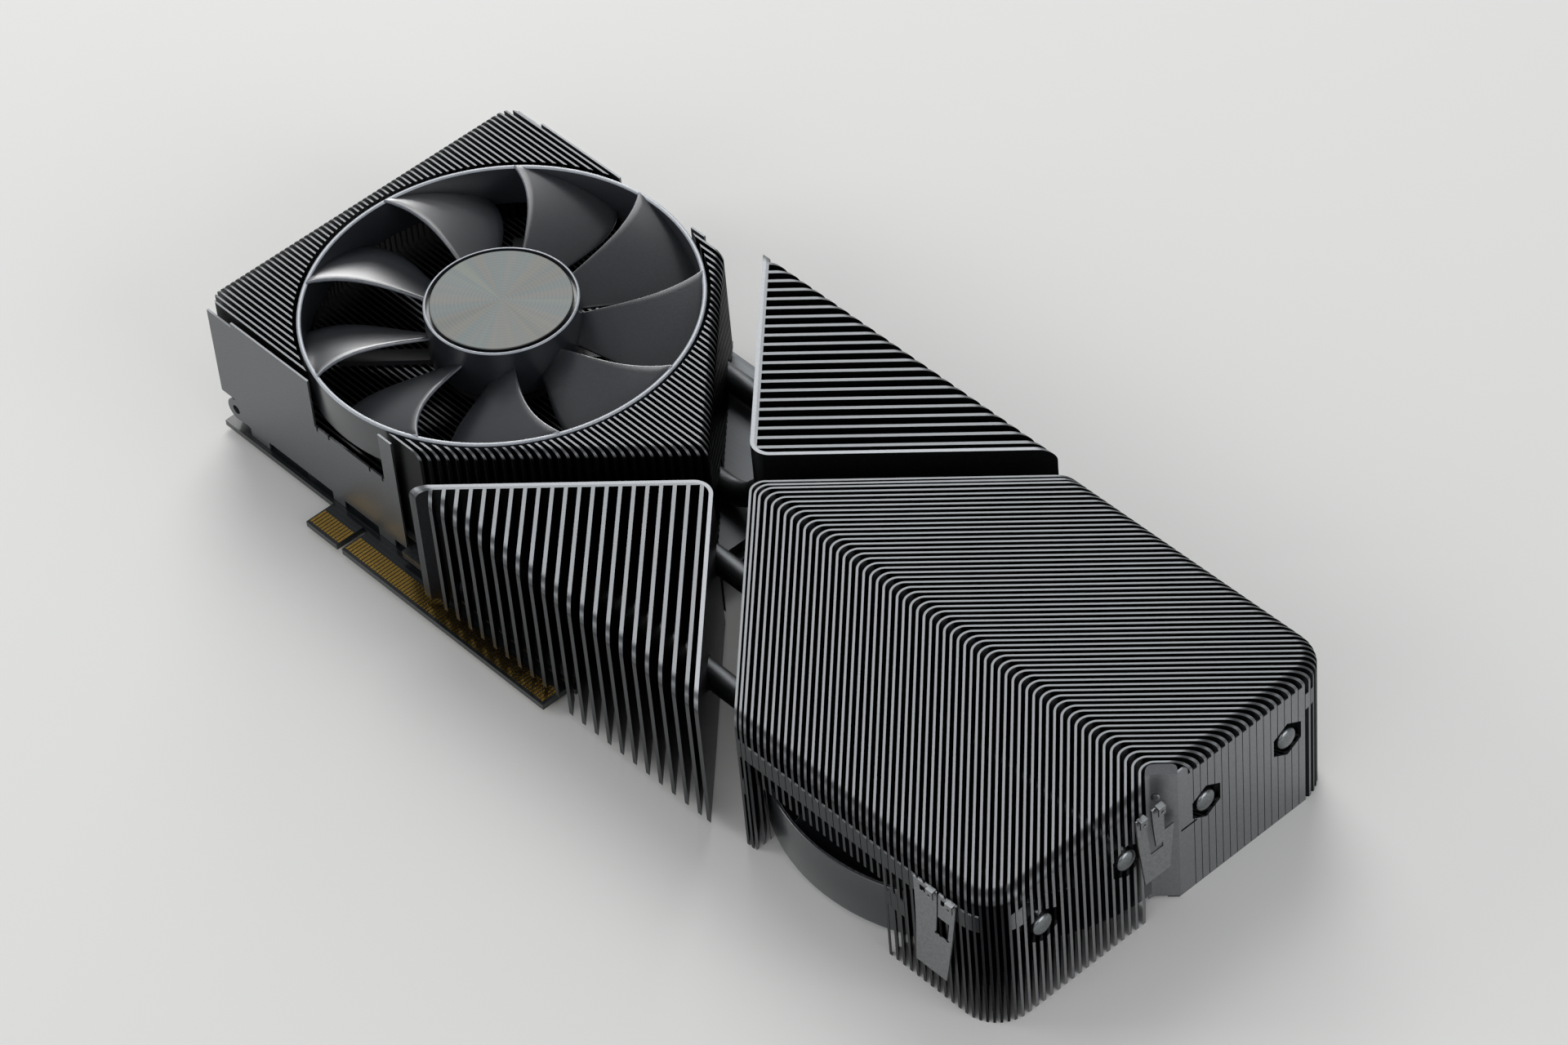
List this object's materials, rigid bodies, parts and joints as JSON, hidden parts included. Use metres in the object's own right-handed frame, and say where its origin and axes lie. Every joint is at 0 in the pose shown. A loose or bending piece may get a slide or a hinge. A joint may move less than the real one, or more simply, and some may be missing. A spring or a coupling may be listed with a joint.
{
  "type": "graphics card",
  "caption": "Two-slot graphics card with an exhaust fin stack, a flow-through fin stack, corner fin stacks, heat pipes, a vapour chamber and an axial fan on each face.",
  "frame": {"origin": "on the plane the card lies on, below the centre of the graphics chip, at the middle of the retention spring's lower face", "axes": "+X from the display-output end to the far end, +Z towards the face with the front fan, -Y towards the slot edge of the board"},
  "size_m": [0.2725, 0.1124, 0.0406],
  "materials": {
    "fin_metal": "dark satin with bright edges",
    "frame_metal": "dark satin with bright edges",
    "plate_metal": "satin",
    "clip_metal": "satin",
    "pipe_metal": "nickel plated, satin",
    "chamber_metal": "nickel plated, satin",
    "board": "solder mask, semi-matte",
    "contact_gold": "gold plated",
    "substrate": "semi-matte",
    "silicon": "polished",
    "thermal_compound": "matte",
    "black_epoxy": "matte",
    "choke_powder": "matte",
    "capacitor_case": "matte",
    "port_steel": "satin",
    "header_nylon": "matte",
    "spring_steel": "satin",
    "screw_steel": "black zinc",
    "fan_base_plastic": "matte",
    "blade_plastic": "satin",
    "lamination_steel": "matte",
    "winding_copper": "enamelled",
    "bearing_bronze": "matte",
    "ferrite": "matte",
    "shaft_steel": "ground",
    "hub_disc_metal": "spun, fine rings"
  },
  "bodies": {
    "cooler": {"exhaust_fins": "fin_metal", "near_side_plate": "plate_metal", "far_side_plate": "plate_metal", "near_corner_frame": "frame_metal", "near_corner_fins": "fin_metal", "far_corner_frame": "frame_metal", "far_corner_fins": "fin_metal", "through_fins": "fin_metal", "heat_pipes": "pipe_metal", "vapor_chamber": "chamber_metal", "base_plate": "plate_metal", "circuit_board": "board", "edge_contacts": "contact_gold", "chip_substrate": "substrate", "chip_die": "silicon", "thermal_paste": "thermal_compound", "memory_chips": "black_epoxy", "memory_pads": "thermal_compound", "inductors": "choke_powder", "power_stages": "black_epoxy", "capacitors": "capacitor_case", "power_connector": "black_epoxy", "power_pins": "contact_gold", "display_ports": "port_steel", "hdmi_port": "port_steel", "fan_headers": "header_nylon", "retention_spring": "spring_steel", "retention_screws": "screw_steel", "board_posts": "screw_steel", "board_screws": "screw_steel", "side_clip": "clip_metal", "end_clip": "clip_metal", "front_fan_base": "fan_base_plastic", "front_stator": "lamination_steel", "front_coils": "winding_copper", "front_sleeve": "bearing_bronze", "front_fan_board": "board", "rear_fan_base": "fan_base_plastic", "rear_stator": "lamination_steel", "rear_coils": "winding_copper", "rear_sleeve": "bearing_bronze", "rear_fan_board": "board"},
    "front_rotor": {"front_impeller": "blade_plastic", "front_yoke": "lamination_steel", "front_magnet": "ferrite", "front_shaft": "shaft_steel", "front_hub_disc": "hub_disc_metal"},
    "rear_rotor": {"rear_impeller": "blade_plastic", "rear_yoke": "lamination_steel", "rear_magnet": "ferrite", "rear_shaft": "shaft_steel", "rear_hub_disc": "hub_disc_metal"}
  },
  "joints": [
    {"name": "front_fan_spin", "type": "hinge", "parent": "cooler", "child": "front_rotor", "pos_m": [-0.042, 0, 0.022], "axis": [0, 0, 1], "continuous": true},
    {"name": "rear_fan_spin", "type": "hinge", "parent": "cooler", "child": "rear_rotor", "pos_m": [0.121, 0, 0.0193], "axis": [0, 0, 1], "continuous": true}
  ]
}
